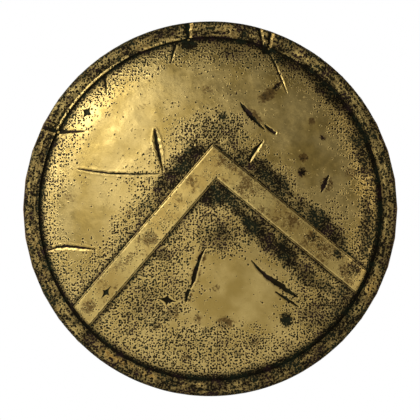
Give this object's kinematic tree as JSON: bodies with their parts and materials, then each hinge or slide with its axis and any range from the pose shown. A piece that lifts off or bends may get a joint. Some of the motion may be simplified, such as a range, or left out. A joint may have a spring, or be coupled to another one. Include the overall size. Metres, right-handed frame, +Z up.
{
  "type": "round bowl shield",
  "caption": "Round bowl shield of planked wood with a bronze face, flat rim and raised chevron; armband, swinging handgrip and cord loops inside.",
  "frame": {"origin": "in the armband, on the shield's axis, at the middle of the room that the forearm takes", "axes": "-Y out of the bronze face, +Y to the bearer, +Z up to the chevron's point, +X to the bearer's left, the elbow's side"},
  "size_m": [0.9, 0.1116, 0.9],
  "materials": {
    "face_bronze": "aged, hammered and punched, polished high spots",
    "rim_bronze": "aged, dark punched",
    "chevron_bronze": "aged, worn smooth on top",
    "fitting_bronze": "cast and filed, browned",
    "poplar": "bare, oiled, darkened",
    "lining_leather": "worn, glued down",
    "grip_leather": "dark, polished by the hand"
  },
  "bodies": {
    "shield": {"core_plank_1": "poplar", "core_plank_2": "poplar", "core_plank_3": "poplar", "core_plank_4": "poplar", "core_plank_5": "poplar", "core_lath_1": "poplar", "core_lath_2": "poplar", "core_lath_3": "poplar", "bowl_lining": "lining_leather", "face_sheet": "face_bronze", "rim_band": "rim_bronze", "chevron": "chevron_bronze", "armband": "fitting_bronze", "armband_plate_upper": "fitting_bronze", "armband_plate_lower": "fitting_bronze", "armband_rivet_1": "fitting_bronze", "armband_rivet_2": "fitting_bronze", "armband_rivet_3": "fitting_bronze", "armband_rivet_4": "fitting_bronze", "armband_rivet_5": "fitting_bronze", "armband_rivet_6": "fitting_bronze", "armband_rivet_7": "fitting_bronze", "armband_rivet_8": "fitting_bronze", "grip_bracket_upper": "fitting_bronze", "grip_bracket_lower": "fitting_bronze", "grip_rivet_1": "fitting_bronze", "grip_rivet_2": "fitting_bronze", "grip_rivet_3": "fitting_bronze", "grip_rivet_4": "fitting_bronze", "cord_loop_1": "fitting_bronze", "cord_loop_2": "fitting_bronze", "cord_loop_3": "fitting_bronze", "cord_loop_4": "fitting_bronze", "cord_loop_5": "fitting_bronze", "cord_loop_6": "fitting_bronze", "armband_lining": "grip_leather"},
    "handgrip": {"grip_bail": "fitting_bronze", "grip_core": "poplar", "grip_leather": "grip_leather", "grip_ferrule_upper": "fitting_bronze", "grip_ferrule_lower": "fitting_bronze"}
  },
  "joints": [
    {"name": "grip_swing", "type": "hinge", "parent": "shield", "child": "handgrip", "pos_m": [-0.31454, 0.01602, 0], "axis": [0, 0, 1], "range_deg": [-90, 85]}
  ]
}
